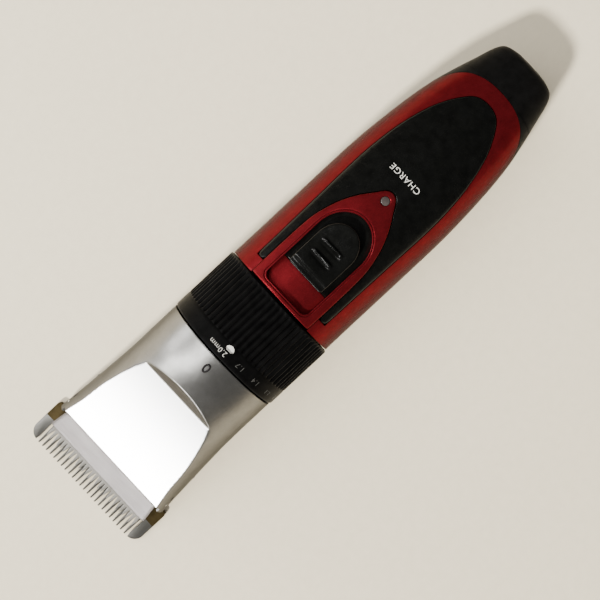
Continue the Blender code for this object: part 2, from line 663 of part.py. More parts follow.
def power_parts():
    rear, front = BATTERY_X
    cylinder("battery_cell", (rear, 0, BATTERY_Z), (front, 0, BATTERY_Z), BATTERY_R, "battery_sleeve",
             sides=28)
    cylinder("battery_button", (front + SLIP, 0, BATTERY_Z), (front + 1.3, 0, BATTERY_Z), 2.7, "steel",
             sides=20)
    for name, x in (("battery_contact_front", front + 1.6), ("battery_contact_rear", rear - 0.5)):
        box(name, (x, -4.5, BATTERY_Z - 5), (x + 0.3, 4.5, BATTERY_Z + 6), "brass")
    board_top = BOARD_Z + 1.0
    box("circuit_board", (-48, -8.5, BOARD_Z), (0, 8.5, board_top), "green_board")
    box("switch_housing", (-16, -3.6, board_top + SLIP), (-2, 3.6, board_top + 3.2), "steel")
    cylinder("charge_led", (LED_X, 0, board_top + SLIP), (LED_X, 0, board_top + 2.6), 0.9, "red_led",
             sides=16)
    cylinder("indicator_lens", (LED_X, 0, board_top + 2.9), (LED_X, 0, LENS_TOP_Z), LED_R, "clear_lens",
             sides=20)
    jack = cylinder("charging_socket", (-88.4, 0, JACK_Z), (-77.5, 0, JACK_Z), JACK_R, "black_gloss",
                    sides=24)
    boolean(jack, cylinder("socket_bore", (-95, 0, JACK_Z), (-79.0, 0, JACK_Z), JACK_R - 0.6, group=CUTTERS,
                           sides=24))
    cylinder("socket_pin", (-79.2, 0, JACK_Z), (-87.0, 0, JACK_Z), 0.5, "brass", sides=12)


def switch_parts():
    outline = d_outline(BUTTON_FRONT_X, BUTTON_REAR_X, BUTTON_HALF, corner=0.9)
    guide = prism("button_block", outline, 15, 65, group=CUTTERS)
    piece = loft("switch_button", HANDLE, HANDLE_X, BUTTON_RISE, "black_gloss", PARTS)
    skin = loft("button_bed", HANDLE, [8] + HANDLE_X[1:-1] + [-92], GAP)
    boolean(piece, guide, "INTERSECT")
    boolean(piece, skin)
    box("switch_slider", (-14.0, -1.2, BOARD_Z + 4.5), (-9.5, 1.2, SLIDER_TOP_Z), "white_nylon")


def shell_screw():
    """Screw from below into the upper shell's boss."""
    shank = cylinder("shell_screw", (BOSS_X, 0, 4.9), (BOSS_X, 0, 16.0), SCREW_R, "steel", sides=16)
    head = cylinder("screw_head", (BOSS_X, 0, 4.2), (BOSS_X, 0, 5.3), 2 * SCREW_R, group=CUTTERS, sides=16)
    boolean(shank, head, "UNION")


def pointer_mark():
    """Raised oval on the head that the dial is read against."""
    def oval(length, width):
        return [(POINTER_X + length * math.cos(2 * math.pi * k / 28), width * math.sin(2 * math.pi * k / 28))
                for k in range(28)]
    low = 38.46
    piece = prism("pointer_mark", oval(1.5, 0.95), low, low + 0.3, finish="silver_paint")
    boolean(piece, prism("pointer_hole", oval(1.05, 0.5), low - 1, low + 1, group=CUTTERS))


def main():
    clear_scene()
    casing_cutters()
    upper_shell()
    lower_shell()
    face_panel()
    switch_bezel()
    head_shell()
    fixed_blade()
    moving_blade()
    drive_fork()
    length_carriage()
    blade_holder()
    blade_screws()
    blade_cover()
    blade_springs()
    adjust_ring()
    chassis()
    motor()
    eccentric()
    drive_lever()
    lever_bracket()
    length_slider()
    power_parts()
    switch_parts()
    shell_screw()
    pointer_mark()


main()
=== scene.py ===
"""Looks of the cordless hair clipper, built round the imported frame.  Helper functions take millimetres."""
import math

import bmesh
import bpy
from mathutils import Matrix, Vector


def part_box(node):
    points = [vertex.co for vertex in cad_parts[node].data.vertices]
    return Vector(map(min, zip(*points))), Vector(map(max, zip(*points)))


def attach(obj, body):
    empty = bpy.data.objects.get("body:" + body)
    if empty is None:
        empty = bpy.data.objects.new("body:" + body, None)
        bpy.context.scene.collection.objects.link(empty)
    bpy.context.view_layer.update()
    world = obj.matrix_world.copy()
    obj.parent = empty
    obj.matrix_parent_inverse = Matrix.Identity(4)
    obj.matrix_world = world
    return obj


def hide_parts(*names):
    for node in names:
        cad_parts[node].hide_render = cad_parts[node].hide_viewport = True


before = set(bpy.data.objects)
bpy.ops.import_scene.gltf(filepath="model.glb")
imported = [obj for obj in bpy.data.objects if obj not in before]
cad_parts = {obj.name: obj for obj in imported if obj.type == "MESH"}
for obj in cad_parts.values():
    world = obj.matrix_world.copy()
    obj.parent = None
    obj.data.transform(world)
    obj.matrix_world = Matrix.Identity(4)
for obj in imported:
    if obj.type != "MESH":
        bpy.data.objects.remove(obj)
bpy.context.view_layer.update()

MM = 0.001


def box_mm(node):
    low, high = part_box(node)
    return low / MM, high / MM


# ---- driving dimensions, read from the frame where a node has them ----
ring_low, ring_high = box_mm("adjust_ring")
AXIS_Z = (ring_low.z + ring_high.z) / 2
RING_R = 19.2
RIDGES = 68
DIAL_BAND = 5.0
DIAL_STEP = 19.0              # degrees between two settings
SETTINGS = ("2.0mm", "1.7", "1.4", "1.1", "0.8")
PRINT_DEPTH = 0.02            # half the thickness of the ink
PRINT_GRID = 0.25

# casing sections: x, half width, top z, underside z, roundness above and below the middle
# the head's rows end with the height of its widest line
HANDLE = [(6.4, 18.7, 38.3, 0.5, 2.0, 2.0), (-5, 18.7, 38.2, -0.2, 2.05, 2.05),
          (-20, 18.75, 37.9, -0.35, 2.1, 2.1), (-38, 18.7, 36.8, -0.35, 2.15, 2.15),
          (-48, 18.2, 35.6, 0.2, 2.2, 2.2), (-58, 17.3, 34.0, 1.7, 2.25, 2.2),
          (-66, 16.1, 32.3, 4.0, 2.3, 2.2), (-73, 14.4, 30.4, 6.9, 2.35, 2.25),
          (-80, 12.4, 28.1, 10.0, 2.45, 2.35), (-85.2, 10.9, 26.2, 12.2, 2.6, 2.5),
          (-87.6, 9.5, 24.9, 13.6, 2.7, 2.6), (-88.7, 7.4, 23.0, 15.4, 2.7, 2.6)]
HEAD = [(28.4, 18.9, 38.4, 0.6, 2.0, 2.0, 19.5), (36, 18.95, 37.6, 0.3, 2.0, 2.1, 18.5),
        (42.5, 19.15, 36.0, 0.0, 2.0, 2.3, 16.0), (47.7, 19.4, 34.9, -0.1, 2.0, 2.8, 14.0),
        (58, 20.25, 30.9, -0.3, 2.0, 4.5, 9.5), (66, 20.95, 26.3, -0.3, 1.87, 7.0, 6.8),
        (74.9, 21.7, 21.5, -0.3, 1.7, 8.0, 5.0)]
# x, z of the facet's profile along the top of the head: crescent step, polished facet, lip
FACET_RIM = (39.9, 37.8)
FACET_REAR = (43.5, 31.0)
FACET_FRONT = (73.7, 11.2)
LIP_FRONT = (81.2, 5.2)
# x, half width of the gloss panel and of the raised tongue round the switch
PANEL_EDGE = [(2.0, 13.1), (-20, 13.4), (-38, 13.6), (-50.5, 12.4), (-59.5, 10.2), (-64.2, 8.1),
              (-68.0, 5.3)]
PANEL_TIP_X = -70.3
TONGUE_EDGE = [(6.1, 10.6), (-6, 10.6), (-14.8, 10.3), (-19.2, 9.4), (-23.6, 8.0), (-28.0, 5.8),
               (-32.2, 2.6)]
TONGUE_TIP_X = -34.5
SLIDE_TRAVEL = 5.0
WELL = (5.0, -24.8, 8.3)      # front x, rear x, half width
BUTTON = (-2.7, -20.4, 6.1)   # front x, rear x, half width
LED_X, LED_R = -31.6, 1.25
SCREW_X, SCREW_R = -64, 2.1   # opening in the belly for the screw
JACK_Z, JACK_R = 19.2, 3.0    # opening in the tail for the charging jack
SKIN_STEPS = 150              # faces across each shell of the handle
# x, z of the split between the red upper shell and the black lower one
SPLIT = [(20, 15.0), (-47, 15.0), (-53, 16.8), (-60, 19.6), (-66, 22.4), (-71, 25.8),
         (-75.6, 29.8), (-80.6, 34.2), (-100, 52)]
BLADE_HALF = 23.3
CHEEK_INNER = 20.2            # half width between the blade's side teeth
TOOTH_ROOT = 81.0             # x where the fixed blade's teeth start


# ---- curve and surface reading ----


def smooth_value(table, x, column):
    """Smooth reading of one column of a station table at x."""
    rows = sorted(table)
    last = len(rows) - 1
    x = min(max(x, rows[0][0]), rows[last][0])
    k = 0
    while k < last - 1 and rows[k + 1][0] < x:
        k += 1
    a, b = rows[k], rows[k + 1]
    before, after = rows[max(k - 1, 0)], rows[min(k + 2, last)]
    span = b[0] - a[0]
    t = (x - a[0]) / span
    slope_a = (b[column] - before[column]) / max(b[0] - before[0], 1e-6) * span
    slope_b = (after[column] - a[column]) / max(after[0] - a[0], 1e-6) * span
    t2, t3 = t * t, t * t * t
    return ((2 * t3 - 3 * t2 + 1) * a[column] + (t3 - 2 * t2 + t) * slope_a
            + (-2 * t3 + 3 * t2) * b[column] + (t3 - t2) * slope_b)


def power(value, exponent):
    return math.copysign(abs(value) ** exponent, value)


def waist_height(table, x, top, low):
    return smooth_value(table, x, 6) if len(table[0]) > 6 else (top + low) / 2


def section_point(table, x, angle):
    """Point of a casing's skin at x.  The angle runs from +Y through the top."""
    half, top, low, above, below = (smooth_value(table, x, column) for column in range(1, 6))
    waist = waist_height(table, x, top, low)
    upper = math.sin(angle) >= 0
    shape = above if upper else below
    rise = top - waist if upper else waist - low
    return Vector((x, half * power(math.cos(angle), 2 / shape),
                   waist + rise * power(math.sin(angle), 2 / shape)))


def top_height(table, x, y):
    """Height of a casing's upper skin above the point x, y."""
    half, top, low, above = (smooth_value(table, x, column) for column in range(1, 5))
    waist = waist_height(table, x, top, low)
    across = min(abs(y) / half, 0.999)
    return waist + (top - waist) * (1 - across ** above) ** (1 / above)


def spread(start, end, count):
    return [start + (end - start) * k / (count - 1) for k in range(count)]


def full_turn(count):
    return [2 * math.pi * k / count for k in range(count)]


def arc(x, y, radius, angles):
    return [(x + radius * math.cos(a), y + radius * math.sin(a)) for a in angles]


def slope(start, end):
    return (end[1] - start[1]) / (end[0] - start[0])


def reverse(loop):
    return list(reversed(loop))


def clean_loop(loop):
    """Drop repeated points of a closed loop."""
    kept = []
    for point in loop:
        if not kept or (Vector(point) - Vector(kept[-1])).length > 0.05:
            kept.append(point)
    if (Vector(kept[0]) - Vector(kept[-1])).length < 0.05:
        kept.pop()
    return kept


def split_angle(x, drop=0.0):
    """Angle on the casing section at x where the split between upper and lower shell runs."""
    top, low, above, below = (smooth_value(HANDLE, x, column) for column in (2, 3, 4, 5))
    up = (smooth_value(SPLIT, x, 1) - drop - (top + low) / 2) / ((top - low) / 2)
    up = max(min(up, 1.0), -1.0)
    shape = above if up >= 0 else below
    return math.asin(power(up, shape / 2))


def plan_outline(edge, tip_x, grow):
    """Closed outline, counter-clockwise, with a square front and half widths along x to a rounded tip."""
    front = edge[0][0]
    last_x, last_y = edge[-1]
    side_steps, eased_points, passes, pull = 60, 22, 14, 8
    side = []
    for k in range(side_steps):
        x = front + (last_x - front) * (k / (side_steps - 1))
        side.append((x, smooth_value(edge, x, 1) + grow))
    for angle in spread(0, math.pi / 2, 9)[1:-1]:
        side.append((last_x + (tip_x - grow - last_x) * math.sin(angle),
                     (last_y + grow) * math.cos(angle)))
    tip = len(side)
    loop = side + [(tip_x - grow, 0.0)] + [(x, -y) for x, y in reversed(side)]
    for _ in range(passes):
        before = list(loop)
        for i in range(tip - eased_points, tip + eased_points + 1):
            loop[i] = tuple((before[i - 1][a] + 2 * before[i][a] + before[i + 1][a]) / 4 for a in (0, 1))
    lost = loop[tip][0] - (tip_x - grow)
    return [(x - lost * max(0.0, 1 - (x - tip_x) / pull) ** 2 if x < tip_x + pull else x, y)
            for x, y in loop]


def d_outline(front_x, rear_x, half, corner, grow=0.0):
    """Closed outline, counter-clockwise: small corners at the front and a half ellipse at the rear."""
    front_x, rear_x, half = front_x + grow, rear_x - grow, half + grow
    bow = half * 1.15
    bend, centre = front_x - corner, rear_x + bow
    points = arc(bend, half - corner, corner, spread(0, math.pi / 2, 9))
    points += [(x, half) for x in spread(bend, centre, 12)[1:]]
    for k in range(1, 40):
        angle = math.pi / 2 + math.pi * k / 40
        points.append((centre + bow * math.cos(angle), half * math.sin(angle)))
    points += [(x, -half) for x in spread(centre, bend, 12)[:-1]]
    return points + arc(bend, -half + corner, corner, spread(-math.pi / 2, 0, 9))


# ---- mesh tools ----


def link_object(name, data):
    made = bpy.data.objects.new(name, data)
    bpy.context.scene.collection.objects.link(made)
    return made


def shade(mesh, angle=32):
    """Smooth shading, with edges sharper than the angle in degrees left crisp."""
    mesh.shade_smooth()
    mesh.set_sharp_from_angle(angle=math.radians(angle))


def mesh_object(bm, name, angle):
    """Object from a bmesh.  An angle of None leaves it flat."""
    mesh = bpy.data.meshes.new(name)
    bm.to_mesh(mesh)
    bm.free()
    if angle:
        shade(mesh, angle)
    return link_object(name, mesh)


def finish_mesh(bm, name, angle=35):
    bmesh.ops.recalc_face_normals(bm, faces=bm.faces)
    return mesh_object(bm, name, angle)


def opened(piece):
    bm = bmesh.new()
    bm.from_mesh(piece.data)
    return bm


def put_back(bm, piece):
    bm.to_mesh(piece.data)
    bm.free()


def slice_mesh(bm, axis, places, dist=1e-5):
    """Cut edges and faces at each place along an axis, in the bmesh's own units."""
    for place in places:
        point, normal = [0.0, 0.0, 0.0], [0.0, 0.0, 0.0]
        point[axis] = place
        normal[axis] = 1.0
        bmesh.ops.bisect_plane(bm, geom=bm.verts[:] + bm.edges[:] + bm.faces[:], plane_co=point,
                               plane_no=normal, dist=dist)


def grid_object(name, rows, closed=False, angle=35, merge=0.002):
    """Mesh through rows of points.  A closed one joins each row's end to its start."""
    bm = bmesh.new()
    made = [[bm.verts.new(Vector(point) * MM) for point in row] for row in rows]
    for here, there in zip(made, made[1:]):
        count = len(here)
        for i in range(count if closed else count - 1):
            j = (i + 1) % count
            bm.faces.new((here[i], here[j], there[j], there[i]))
    bmesh.ops.remove_doubles(bm, verts=bm.verts, dist=merge * MM)
    return finish_mesh(bm, name, angle)


def face_away(piece, centre):
    """Turn an open skin's faces away from the line through centre along x."""
    bm = opened(piece)
    lean = 0.0
    for face in bm.faces:
        away = face.calc_center_median() - Vector(centre) * MM
        away.x = 0.0
        lean += face.normal.dot(away) * face.calc_area()
    if lean < 0:
        bmesh.ops.reverse_faces(bm, faces=bm.faces)
    put_back(bm, piece)


def prism_mesh(outline, low, high, unit):
    """Bmesh of an upright prism over an outline, with its sizes times unit."""
    bm = bmesh.new()
    rings = [[bm.verts.new(Vector((x, y, level)) * unit) for x, y in outline] for level in (low, high)]
    count = len(outline)
    for i in range(count):
        j = (i + 1) % count
        bm.faces.new((rings[0][i], rings[0][j], rings[1][j], rings[1][i]))
    bm.faces.new(rings[0])
    bm.faces.new(rings[1])
    return bm


def prism(name, outline, low, high):
    return finish_mesh(prism_mesh(outline, low, high, MM), name)


def block(name, low, high):
    outline = [(low[0], low[1]), (high[0], low[1]), (high[0], high[1]), (low[0], high[1])]
    return prism(name, outline, low[2], high[2])


def modify(piece, kind, **values):
    step = piece.modifiers.new(kind.lower(), kind)
    for key, value in values.items():
        setattr(step, key, value)


def bevel(piece, width, segments, angle):
    modify(piece, "BEVEL", width=width * MM, segments=segments, limit_method="ANGLE",
           angle_limit=math.radians(angle))


def thicken(piece, thickness, offset):
    """Wall on a skin: inside it with an offset of -1, half on each side with 0."""
    modify(piece, "SOLIDIFY", thickness=thickness * MM, offset=offset)


def paint(piece, *materials):
    for material in materials:
        piece.data.materials.append(material)


def apply_modifiers(piece):
    graph = bpy.context.evaluated_depsgraph_get()
    made = bpy.data.meshes.new_from_object(piece.evaluated_get(graph))
    piece.modifiers.clear()
    old = piece.data
    piece.data = made
    bpy.data.meshes.remove(old)


def turn_outward(piece):
    """Turn a closed mesh's faces out of its solid."""
    bm = opened(piece)
    bmesh.ops.recalc_face_normals(bm, faces=bm.faces)
    if bm.calc_volume(signed=True) < 0:
        bmesh.ops.reverse_faces(bm, faces=bm.faces)
    put_back(bm, piece)


def cut(piece, *cutters):
    """Take each cutter's solid out of the piece, and remove the cutter."""
    turn_outward(piece)
    for cutter in cutters:
        turn_outward(cutter)
        modify(piece, "BOOLEAN", operation="DIFFERENCE", object=cutter, solver="EXACT")
    apply_modifiers(piece)
    for cutter in cutters:
        bpy.data.objects.remove(cutter, do_unlink=True)
    shade(piece.data)


def carve(piece, planes, inside, near):
    """Split an open skin's near faces along planes, each (point, normal), and drop the faces inside."""
    bm = opened(piece)
    for point, normal in planes:
        faces = [face for face in bm.faces if near(face.calc_center_median() / MM)]
        edges = {edge for face in faces for edge in face.edges}
        corners = {corner for face in faces for corner in face.verts}
        bmesh.ops.bisect_plane(bm, geom=[*faces, *edges, *corners], plane_co=Vector(point) * MM,
                               plane_no=normal, dist=1e-7)
    gone = [face for face in bm.faces if inside(face.calc_center_median() / MM)]
    bmesh.ops.delete(bm, geom=gone, context="FACES")
    put_back(bm, piece)


def join(name, pieces):
    bm = bmesh.new()
    for piece in pieces:
        piece.data.transform(piece.matrix_world)
        bm.from_mesh(piece.data)
        bpy.data.objects.remove(piece, do_unlink=True)
    return mesh_object(bm, name, 32)


def inset_loop(loop, distance):
    """Move a counter-clockwise loop towards its left, which is its inside (a clockwise hole grows)."""
    count = len(loop)
    moved = []
    for i in range(count):
        before, here, after = Vector(loop[i - 1]), Vector(loop[i]), Vector(loop[(i + 1) % count])
        one, two = (here - before).normalized(), (after - here).normalized()
        along = (one + two).normalized()
        stretch = 1 / max(math.sqrt(max((1 + one.dot(two)) / 2, 0.0)), 0.5)
        moved.append((here.x - along.y * distance * stretch, here.y + along.x * distance * stretch))
    return moved


def rim_directions(bm):
    """Boundary edges and the outward direction in plan at each of their points."""
    rim = [e for e in bm.edges if e.is_boundary]
    outward = {}
    for e in rim:
        a, b = e.verts
        side = Vector((b.co.y - a.co.y, a.co.x - b.co.x, 0.0))
        middle = e.link_faces[0].calc_center_median()
        if side.dot((a.co + b.co) / 2 - middle) < 0:
            side.negate()
        if side.length < 1e-9:
            continue
        for vertex in (a, b):
            outward[vertex] = outward.get(vertex, Vector((0, 0, 0))) + side.normalized()
    return [e.verts[:] for e in rim], {vertex: side.normalized() for vertex, side in outward.items()}


def patch(name, loops, height, thickness, edge, grid=1.0, steps=4):
    """Plate with a rounded edge whose top follows height(x, y).

    loops[0] is its outline, and the others are clockwise holes.  grid is the spacing of the points.
    """
    bm = bmesh.new()
    for loop in loops:
        made = [bm.verts.new((x, y, 0)) for x, y in inset_loop(loop, edge)]
        for here, there in zip(made, made[1:] + made[:1]):
            bm.edges.new((here, there))
    bmesh.ops.triangle_fill(bm, edges=bm.edges[:], use_beauty=True, use_dissolve=False)
    for axis in (0, 1):
        low = min(vertex.co[axis] for vertex in bm.verts)
        high = max(vertex.co[axis] for vertex in bm.verts)
        slice_mesh(bm, axis, spread(low, high, int((high - low) / grid) + 2)[1:-1])
    rim, outward = rim_directions(bm)
    for vertex in bm.verts:
        vertex.co.z = height(vertex.co.x, vertex.co.y)
    turns = [math.pi / 2 * k / steps for k in range(1, steps + 1)]
    profile = [(edge * math.sin(turn), edge * (1 - math.cos(turn))) for turn in turns] + [(edge, thickness)]
    ring = {vertex: vertex for vertex in outward}
    for out, down in profile:
        fresh = {}
        for source, direction in outward.items():
            x, y = source.co.x + direction.x * out, source.co.y + direction.y * out
            fresh[source] = bm.verts.new((x, y, height(x, y) - down))
        for a, b in rim:
            bm.faces.new((ring[a], ring[b], fresh[b], fresh[a]))
        ring = fresh
    bmesh.ops.recalc_face_normals(bm, faces=bm.faces)
    if sum(face.normal.z * face.calc_area() for face in bm.faces) < 0:
        bmesh.ops.reverse_faces(bm, faces=bm.faces)
    bmesh.ops.scale(bm, vec=(MM, MM, MM), verts=bm.verts)
    return mesh_object(bm, name, 50)


# ---- materials ----


def srgb(*values):
    """Linear colour from 0-255 display values."""
    return tuple(((v / 255 + 0.055) / 1.055) ** 2.4 if v > 10 else v / 255 / 12.92 for v in values)


def node(made, kind, values, feeds):
    """Add a node to a material.  values sets its inputs, and feeds joins its inputs to sockets."""
    fresh = made.node_tree.nodes.new(kind)
    for key, value in values.items():
        fresh.inputs[key].default_value = value
    for key, socket in feeds.items():
        made.node_tree.links.new(socket, fresh.inputs[key])
    return fresh


def object_space(made, stretch):
    """Object coordinates in millimetres, scaled along each axis by stretch."""
    place = node(made, "ShaderNodeTexCoord", {}, {})
    scale = tuple(1000 * s for s in stretch)
    return node(made, "ShaderNodeMapping", {"Scale": scale}, {"Vector": place.outputs["Object"]}).outputs[0]


def surface(name, dark, light, rough, metallic=0.0, coat=0.0, coat_rough=0.05, grain=(),
            streak=(1, 1, 1), specular=0.5, edge=None):
    """Procedural finish: colour and roughness wander between two values, and grain layers bump the surface.

    grain holds (features per mm, strength, height in mm) layers, streak stretches the wander along an
    axis, and edge is the colour of a metal seen at a low angle.
    """
    made = bpy.data.materials.new(name)
    made.use_nodes = True
    links = made.node_tree.links
    shader = made.node_tree.nodes["Principled BSDF"]
    settings = {"Metallic": metallic, "Coat Weight": coat, "Coat Roughness": coat_rough,
                "Specular IOR Level": specular}
    if edge:
        settings["Specular Tint"] = (*edge, 1)
    for key, value in settings.items():
        shader.inputs[key].default_value = value
    place = {"Vector": object_space(made, streak)}
    wander = node(made, "ShaderNodeTexNoise", {"Scale": 0.35, "Detail": 6, "Roughness": 0.65}, place)
    tint = node(made, "ShaderNodeValToRGB", {}, {"Fac": wander.outputs["Fac"]})
    for stop, position, colour in zip(tint.color_ramp.elements, (0.32, 0.68), (dark, light)):
        stop.position = position
        stop.color = (*colour, 1)
    links.new(tint.outputs["Color"], shader.inputs["Base Color"])
    smudge = node(made, "ShaderNodeTexNoise", {"Scale": 0.9, "Detail": 8}, place)
    span = {"From Min": 0.3, "From Max": 0.7, "To Min": rough[0], "To Max": rough[1]}
    shine = node(made, "ShaderNodeMapRange", span, {"Value": smudge.outputs["Fac"]})
    links.new(shine.outputs["Result"], shader.inputs["Roughness"])
    below = {}
    for features, strength, tall in grain:
        cells = node(made, "ShaderNodeTexNoise", {"Scale": features, "Detail": 3}, place)
        bump = node(made, "ShaderNodeBump", {"Strength": strength, "Distance": tall * MM},
                    {"Height": cells.outputs["Fac"], **below})
        below = {"Normal": bump.outputs["Normal"]}
    if below:
        links.new(below["Normal"], shader.inputs["Normal"])
    return made


def flakes(made, amount, features, bright):
    """Metal flake in a lacquer: small cells that tilt the surface and lift its colour."""
    links = made.node_tree.links
    shader = made.node_tree.nodes["Principled BSDF"]
    place = {"Vector": object_space(made, (1, 1, 1))}
    cells = node(made, "ShaderNodeTexVoronoi", {"Scale": features}, place)
    pick = node(made, "ShaderNodeSeparateColor", {}, {"Color": cells.outputs["Color"]})
    curve = node(made, "ShaderNodeMath", {1: 5.0}, {0: pick.outputs["Red"]})
    curve.operation = "POWER"
    level = node(made, "ShaderNodeMath", {1: amount}, {0: curve.outputs["Value"]})
    level.operation = "MULTIPLY"
    mix = made.node_tree.nodes.new("ShaderNodeMix")
    mix.data_type = "RGBA"
    mix.inputs["B"].default_value = (*bright, 1)
    links.new(shader.inputs["Base Color"].links[0].from_socket, mix.inputs["A"])
    links.new(level.outputs["Value"], mix.inputs["Factor"])
    links.new(mix.outputs["Result"], shader.inputs["Base Color"])
    tilt = {"Height": pick.outputs["Green"]}
    if shader.inputs["Normal"].links:
        tilt["Normal"] = shader.inputs["Normal"].links[0].from_socket
    bump = node(made, "ShaderNodeBump", {"Strength": 0.06, "Distance": 0.05 * MM}, tilt)
    links.new(bump.outputs["Normal"], shader.inputs["Normal"])
    return made


RED = flakes(surface("red_lacquer", (0.105, 0.007, 0.010), (0.145, 0.010, 0.014), (0.3, 0.4), 0.75,
                     0.05, 0.05, specular=0.2, edge=(0.06, 0.008, 0.01)), 0.25, 9.0, (0.4, 0.03, 0.04))
SILVER = flakes(surface("silver_paint", (0.24, 0.237, 0.23), (0.28, 0.277, 0.27), (0.31, 0.37), 0.95,
                        0.05, 0.2, grain=((5.0, 0.03, 0.01),), edge=(0.14, 0.137, 0.13)),
                0.12, 11.0, (0.5, 0.5, 0.49))
# painted shade: a darker copy of the silver paint, standing in for the shade and dark reflection on the
# crescent step wall
SHADED_STEP = surface("step_wall_painted_shade", (0.09, 0.088, 0.084), (0.115, 0.113, 0.108), (0.3, 0.36), 0.95,
               grain=((5.0, 0.03, 0.01),), edge=(0.35, 0.34, 0.33))
POLISHED = surface("polished_facet", (0.92, 0.92, 0.92), (0.95, 0.95, 0.945), (0.2, 0.23), 1.0, 0.1, 0.08)
# painted shade: a near-black colour standing in for the shade round the raised oval mark, which is silver
# like the head, and for the shade inside the catch's slot and hole
PAINTED_SHADE_MARK = surface("mark_painted_shade", (0.03, 0.027, 0.028), (0.05, 0.046, 0.047), (0.3, 0.4), 0.9,
               grain=((6.0, 0.05, 0.01),))
SATIN = surface("satin_lip", (0.125, 0.117, 0.119), (0.17, 0.16, 0.16), (0.36, 0.46), 0.85, 0.0, 0.1,
                grain=((6.0, 0.04, 0.01),), streak=(1, 0.25, 1))
BLACK_GLOSS = surface("gloss_black", (0.0015, 0.0016, 0.0015), (0.0032, 0.0034, 0.0032),
                      (0.16, 0.28), 0.0, 0.04, 0.03, specular=0.18)
BLACK_SATIN = surface("satin_black", (0.0014, 0.0014, 0.0015), (0.0032, 0.0032, 0.0033), (0.4, 0.5),
                      grain=((7.0, 0.12, 0.02),), specular=0.05, edge=(0.3, 0.3, 0.3))
BLACK_GRAIN = surface("grained_black", (0.0024, 0.0024, 0.0025), (0.0052, 0.0052, 0.0053), (0.42, 0.56),
                      grain=((4.5, 0.2, 0.04), (12.0, 0.15, 0.02)), specular=0.05,
                      edge=(0.35, 0.35, 0.34))
TITANIUM = surface("titanium_coat", srgb(96, 86, 66), srgb(128, 116, 92), (0.24, 0.36), 1.0,
                   grain=((7.0, 0.08, 0.01),), streak=(1, 0.12, 1))
TITANIUM_DARK = surface("titanium_side", srgb(46, 39, 23), srgb(62, 53, 34), (0.5, 0.6), 0.25,
                        grain=((7.0, 0.08, 0.01),), specular=0.12, edge=(0.2, 0.18, 0.14))
GROUND_STEEL = surface("ground_steel", (0.08, 0.078, 0.072), (0.125, 0.122, 0.114), (0.34, 0.46), 0.75,
                       grain=((9.0, 0.1, 0.01),), streak=(0.15, 1, 1))
BRIGHT_STEEL = surface("bright_steel", (0.55, 0.55, 0.55), (0.66, 0.66, 0.655), (0.16, 0.28), 1.0,
                       grain=((8.0, 0.05, 0.01),), streak=(0.3, 1, 1))
CUTTER_GREY = surface("cutter_teeth", (0.155, 0.15, 0.138), (0.21, 0.204, 0.19), (0.34, 0.44), 0.15,
                      grain=((9.0, 0.05, 0.01),), streak=(0.3, 1, 1))
CERAMIC = surface("ceramic", (0.60, 0.59, 0.56), (0.68, 0.67, 0.64), (0.24, 0.34), 0.0, 0.2, 0.1,
                  grain=((9.0, 0.06, 0.01),))
NYLON = surface("nylon", (0.58, 0.57, 0.52), (0.68, 0.67, 0.62), (0.4, 0.55), grain=((3.0, 0.1, 0.03),))
BRASS = surface("brass", (0.5, 0.34, 0.12), (0.62, 0.45, 0.18), (0.22, 0.38), 1.0,
                grain=((6.0, 0.06, 0.01),))
BOARD = surface("board", (0.008, 0.09, 0.03), (0.015, 0.14, 0.05), (0.35, 0.5), 0.0, 0.4, 0.1,
                grain=((5.0, 0.08, 0.02),))
SLEEVE = surface("sleeve", (0.02, 0.12, 0.06), (0.03, 0.17, 0.09), (0.25, 0.38), 0.0, 0.3, 0.1)
LENS = surface("lens", srgb(50, 46, 45), srgb(66, 61, 60), (0.15, 0.25), 0.0, 0.3, 0.05)
LED = surface("led", (0.4, 0.02, 0.02), (0.55, 0.03, 0.03), (0.15, 0.25), 0.0, 0.5, 0.05)
TABLE = surface("table_top", srgb(209, 199, 176), srgb(214, 204, 181), (0.55, 0.7),
                grain=((1.2, 0.04, 0.05),))
PRINT_GREY = surface("faint_print", srgb(66, 66, 65), srgb(80, 80, 78), (0.5, 0.65))
PRINT_WHITE = surface("white_print", srgb(178, 178, 175), srgb(200, 200, 196), (0.45, 0.6))


# ---- casing pieces ----


def crowd(low, high, count, crowding):
    """Stations crowded towards low."""
    return [low + (high - low) * (k / (count - 1)) ** crowding for k in range(count)]


def find_apex():
    """x where the split climbs over the top of the casing, found by halving."""
    low, high = -85.0, -60.0
    for _ in range(40):
        middle = (low + high) / 2
        if smooth_value(SPLIT, middle, 1) > smooth_value(HANDLE, middle, 2):
            low = middle
        else:
            high = middle
    return high


def plate_height(x, y):
    """Plate under the thumb button, with a low ridge across its front."""
    return top_height(HANDLE, x, y) - 0.9 + 0.25 * math.exp(-((x + 3.6) / 0.5) ** 2)


